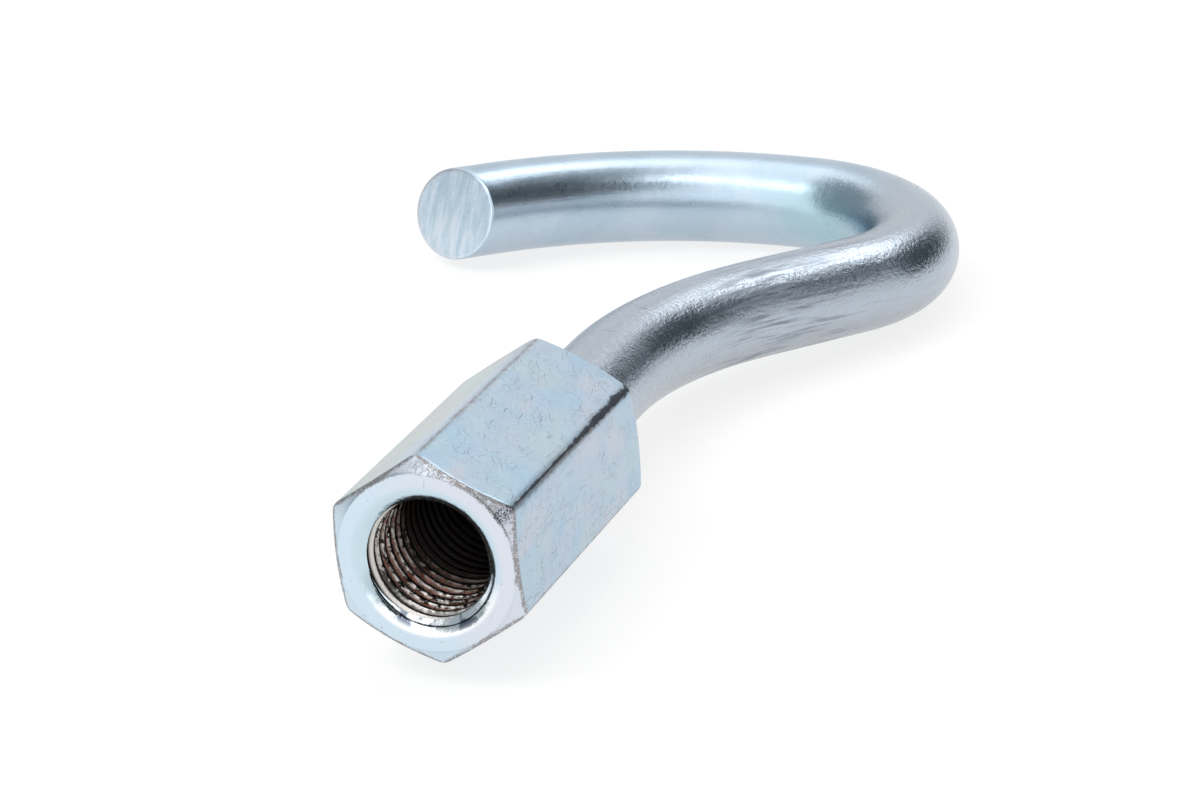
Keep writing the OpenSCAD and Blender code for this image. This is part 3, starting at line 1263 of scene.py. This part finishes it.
@dataclass(frozen=True)
class RodZinc(Zinc):
    """Satin zinc on drawn rod, with marks that run along the bar and partly paint a dark reflected band on
    the stem, painted shade on its underside, and a sheared end.
    """

    name: str = "rod_zinc"
    bump_strength: float = 0.42
    bump_m: float = 0.00013
    mottle: tuple[float, float, float] = (1.0, 4.0, 0.6)
    fine: tuple[float, float, float] = (3.6, 3.0, 0.62)
    film: Colour = (0.425, 0.540, 0.640)
    pale: Colour = (0.490, 0.590, 0.690)
    grey: Colour = (0.445, 0.500, 0.570)
    # Painted shade: greyer and darker colour on the rod's underside
    painted_underside_shade: Colour = (0.435, 0.455, 0.485)
    # Dark marks: real drawing marks and dirt specks, which on the stem also paint a dark reflected band
    marks_and_band_dark: Colour = (0.11, 0.125, 0.16)
    teal: Colour = (0.33, 0.56, 0.60)
    cropped: Colour = (0.57, 0.71, 0.82)
    cropped_pale: Colour = (0.78, 0.87, 0.96)
    burr: Colour = (0.74, 0.70, 0.73)
    tarnish: Colour = (0.24, 0.21, 0.20)
    # Places along the straight bar: the middle and the reach to each side, in millimetres
    drawn_marks_and_band_at: Span = (42.0, 17.0)
    rubbed_at: Span = (39.0, 11.0)
    nicked_at: Span = (25.0, 15.0)
    teal_at: Span = (73.0, 12.0)
    # Where the neck's look gives way to that of the smoother arm, along the bar
    arm_from: Span = (58.0, 78.0)
    # Lean of the streaks on the cropped face, in degrees
    shear_lean: float = -23.0

    def build(self) -> bpy.types.Material:
        """Makes the material.

        Returns:
            The rod's finish.
        """
        skin = ZincSkin(self, {"Metallic": 1.0, "IOR": 1.6})
        place, x, y, z, mottle, fine = skin.place, skin.x, skin.y, skin.z, skin.mottle, skin.fine
        end = skin.step(skin.attribute("end"), 0.6, 0.95)
        long_marks = skin.noise(skin.vector("MULTIPLY", place, (1.0, 0.06, 1.0)), 2.6, 4.0, 0.65)
        cloud = skin.noise(place, 0.2, 3.0, 0.55)
        along = skin.step(y + (cloud - 0.5) * 12.0, *self.arm_from)
        # The rod's underside, where shade is painted
        under = skin.step(z + (mottle - 0.5) * 1.5, 0.5, -2.6)
        # Dark lengthwise marks along the neck and throat: partly real drawing marks, partly a painted dark
        # reflected band
        drawn = skin.step(long_marks, 0.53, 0.62) * skin.bump_at(y, *self.drawn_marks_and_band_at)
        nicks = skin.noise(skin.vector("MULTIPLY", place, (0.35, 1.0, 0.35)), 2.4, 3.0, 0.65)
        nicks = skin.step(nicks, 0.60, 0.70) * skin.bump_at(y, *self.nicked_at)
        inner = skin.bump_at(y, *self.teal_at) * skin.step(x, -2.2, -3.9)
        sheared = self.sheared(skin)
        chipped = skin.step(skin.attribute("edge") + (fine - 0.5), 0.6, 0.95)
        base = skin.coats(
            self.grey,
            (along, skin.blend(skin.step(cloud, 0.38, 0.64), self.film, self.pale)),
            # Painted shade on the underside, strongest along the neck
            (under * skin.mix(along, 0.75, 0.25), self.painted_underside_shade),
            (skin.step(mottle, 0.40, 0.75) * 0.25, self.pale),
            # Drawing marks and painted dark reflected band on the stem
            (drawn * skin.mix(skin.step(x, -1.0, 2.0), 0.25, 0.45), self.marks_and_band_dark),
            (nicks * 0.45, self.tarnish),
            (skin.step(fine, 0.58, 0.76) * 0.10, self.marks_and_band_dark),
            (inner * 0.5, self.teal),
            (end, skin.blend(skin.step(sheared, 0.36, 0.68), self.cropped, self.cropped_pale)),
            (chipped * skin.step(x, -2.0, 3.0) * 0.6, self.burr),
        )
        rubbed = skin.step(long_marks, 0.45, 0.54) * skin.bump_at(y, *self.rubbed_at)
        rough = skin.mix(mottle, 0.17, 0.26) + skin.step(fine, 0.5, 0.8) * 0.1 + along * 0.07
        rough = skin.mix(end, rough + rubbed * 0.34, 0.40)
        height = fine * skin.mix(along, 0.95, 0.16) + mottle * skin.mix(along, 0.8, 0.3)
        height = height + long_marks * skin.mix(along, 0.4, 0.25) + end * sheared * 1.2
        return skin.dress({"Base Color": base, "Roughness": rough, "Normal": skin.relief(height)})

    def sheared(self, skin: ZincSkin) -> Sock:
        """Streaks of the cropped face, leaning and drawn out.

        Args:
            skin: The material to build in.

        Returns:
            The streaks as noise from 0 to 1.
        """
        flat = skin.vector("MULTIPLY", skin.place, (1.0, 0.0, 0.16))
        lean = (0.0, math.radians(self.shear_lean), 0.0)
        leaned = skin.add("ShaderNodeMapping", None, {"Vector": flat, "Rotation": lean})
        return skin.noise(leaned, 1.5, 3.0, 0.55)


@dataclass(frozen=True)
class PaperFloor:
    """White paper under the hook, which keeps a soft shadow."""

    name: str = "paper_floor"
    paper: Colour = (0.93, 0.93, 0.93)
    fibre: Colour = (0.88, 0.88, 0.9)
    # How much of the floor is plain white where the camera or a reflection sees it
    lift: float = 0.78

    def build(self) -> bpy.types.Material:
        """Makes the material.

        Returns:
            The floor's finish.
        """
        skin = Skin(self.name, {"Roughness": 0.8, "Specular IOR Level": 0.1})
        place = skin.out(skin.node("ShaderNodeTexCoord"), "Object")
        grain = skin.noise(place, 900.0, 3.0, 0.6)
        path = skin.node("ShaderNodeLightPath")
        seen = skin.high(skin.out(path, "Is Camera Ray"), skin.out(path, "Is Glossy Ray"))
        seen = skin.high(seen, skin.out(path, "Is Transmission Ray"))
        white = skin.add("ShaderNodeEmission", None, {"Color": (1.0, 1.0, 1.0), "Strength": 1.0})
        layers = {0: seen * self.lift, 1: skin.out(skin.surface), 2: white}
        skin.feed(skin.end.inputs["Surface"], skin.add("ShaderNodeMixShader", None, layers))
        return skin.dress({"Base Color": skin.blend(grain * 0.02, self.paper, self.fibre)})


@dataclass(frozen=True)
class Area:
    """A round part of the surroundings that is brighter or darker than the rest.

    The azimuth runs from -Y towards +X, and the height from the horizon, in degrees.
    """

    azimuth: float
    height: float
    inner: float
    outer: float
    level: float

    def centre(self) -> tuple[float, float, float]:
        """Direction of its middle."""
        turn, lift = math.radians(self.azimuth), math.radians(self.height)
        return math.cos(lift) * math.sin(turn), -math.cos(lift) * math.cos(turn), math.sin(lift)

    def rim(self, angle: float) -> float:
        """Cosine of an angle from its middle."""
        return math.cos(math.radians(angle))


@dataclass(frozen=True)
class Lamp:
    """A soft square lamp, in metres and watts."""

    name: str
    place: tuple[float, float, float]
    side: float
    watts: float

    def hang(self, target: Vector) -> None:
        """Adds the lamp to the scene, unseen by reflections.

        Args:
            target: Where it points.
        """
        data = bpy.data.lights.new(self.name, "AREA")
        data.size = self.side
        data.energy = self.watts
        made = linked(self.name, data)
        made.location = self.place
        made.rotation_euler = (target - Vector(self.place)).to_track_quat("-Z", "Y").to_euler()
        made.visible_glossy = False


@dataclass(frozen=True)
class Studio:
    """Floor, lamps, surroundings and camera."""

    floor_half: float = 0.9
    camera_mm: tuple = (101.671, -241.727, 133.424)
    camera_turn_deg: tuple = (65.1143, 1.5856, 19.3879)
    lens_mm: float = 125.1
    sensor_mm: float = 36.0
    surround: float = 0.90
    dark_tint: Colour = (0.84, 1.0, 1.10)
    key: Lamp = Lamp("key", place=(-0.35, -0.25, 0.55), side=0.35, watts=2.2)
    fill: Lamp = Lamp("fill", place=(0.5, 0.3, 0.45), side=0.4, watts=1.1)
    aim: tuple[float, float, float] = (0.0, 0.04, 0.0)
    # In front, low on the left: the sleeve's upper chamfer and the middle of the arm
    front_box: Area = Area(azimuth=-30, height=30, inner=40, outer=60, level=1.5)
    # High on the left: the top of the arm and the lower side of the countersink
    left_box: Area = Area(azimuth=-80, height=65, inner=35, outer=50, level=1.7)
    # High behind: the top of the throat before the bow
    back_box: Area = Area(azimuth=155, height=54, inner=12, outer=24, level=3.0)
    # Two lamps above the camera: the pair of glints on the arm and in the lip of the mouth
    left_lamp: Area = Area(azimuth=-25, height=55, inner=2, outer=9, level=5.0)
    right_lamp: Area = Area(azimuth=15, height=65, inner=2, outer=9, level=5.0)
    # Left: the dark end of the arm beside the bow
    left_gap: Area = Area(azimuth=-80, height=25, inner=30, outer=50, level=0.4)
    # Right, behind: the dark band along the neck and the throat
    rear_gap: Area = Area(azimuth=135, height=18, inner=20, outer=36, level=0.08)
    # Right: the dark band along the arm, with its upper end over the hook
    right_gap: Area = Area(azimuth=65, height=50, inner=25, outer=35, level=0.05)
    top_gap: Area = Area(azimuth=115, height=74, inner=5, outer=20, level=0.2)

    def areas(self) -> tuple[Area, ...]:
        """Boxes, gaps and lamps, each over the ones before it."""
        gaps = (self.left_gap, self.rear_gap, self.right_gap, self.top_gap)
        return (self.front_box, self.left_box, self.back_box, *gaps, self.left_lamp, self.right_lamp)

    def floor(self, lowest: float) -> None:
        """Lays the floor under the part.

        Args:
            lowest: The part's lowest point.
        """
        half = self.floor_half
        mesh = bpy.data.meshes.new("floor")
        corners = [(-half, -half), (half, -half), (half, half), (-half, half)]
        mesh.from_pydata([(x, y, lowest) for x, y in corners], [], [(0, 1, 2, 3)])
        mesh.materials.append(PaperFloor().build())
        floor = linked("floor", mesh)
        floor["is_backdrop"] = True

    def camera(self) -> None:
        """Sets the camera at the photograph's viewpoint."""
        data = bpy.data.cameras.new("camera")
        data.lens = self.lens_mm
        data.sensor_width = self.sensor_mm
        data.clip_start = 0.01
        made = linked("camera", data)
        made.location = Vector(self.camera_mm) * MM
        made.rotation_euler = [math.radians(a) for a in self.camera_turn_deg]
        bpy.context.scene.camera = made

    def world(self) -> None:
        """Surroundings: bright walls, with soft boxes and dark gaps in places."""
        world = bpy.data.worlds.new("studio")
        world.use_nodes = True
        world.node_tree.nodes.clear()
        graph = Graph(world.node_tree)
        direction = graph.out(graph.node("ShaderNodeTexCoord"), "Generated")
        light: Value = self.surround
        for area in self.areas():
            operands = {0: direction, 1: area.centre()}
            facing = graph.node("ShaderNodeVectorMath", {"operation": "DOT_PRODUCT"}, operands)
            share = graph.step(graph.out(facing, "Value"), area.rim(area.outer), area.rim(area.inner))
            light = graph.mix(share, light, area.level)
        path = graph.node("ShaderNodeLightPath")
        strength = graph.mix(graph.out(path, "Is Camera Ray"), light, 1.0)
        colour = graph.blend(graph.step(strength, 0.65, 0.25), (1.0, 1.0, 1.0), self.dark_tint)
        back = graph.node("ShaderNodeBackground", None, {"Color": colour, "Strength": strength})
        graph.node("ShaderNodeOutputWorld", None, {"Surface": graph.out(back)})
        bpy.context.scene.world = world

    def build(self, lowest: float) -> None:
        """Sets up the whole studio.

        Args:
            lowest: The part's lowest point.
        """
        self.camera()
        self.floor(lowest)
        self.world()
        for lamp in (self.key, self.fill):
            lamp.hang(Vector(self.aim))
        bpy.context.scene.view_settings.view_transform = "Standard"


def main() -> None:
    """Builds the hook in its frame and reports each piece."""
    logging.basicConfig(level=logging.INFO, format="%(message)s")
    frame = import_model()
    cad_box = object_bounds()
    rest = Rest(frame["record"])
    rod_size = RodSize()
    sleeve = HexSleeve(SleeveSize(), ThreadSize(), rod_size)
    rod = HookRod(rod_size, root_y=sleeve.back_y - rod_size.seat_len)
    Studio().build(cad_box[0][2])
    jobs: list[tuple[Piece, SleeveZinc | RodZinc, str, str]] = [
        (sleeve, SleeveZinc(), "hex_sleeve", "sleeve_zinc"),
        (rod, RodZinc(), "hook_rod", "rod_zinc"),
    ]
    for maker, finish, node, slot in jobs:
        piece = maker.build(rest, finish.build())
        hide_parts(node)
        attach(piece, BODY)
        LOG.info("%s: %d faces, in place of %s", piece.name, len(piece.data.polygons), node)


if __name__ == "__main__":
    main()
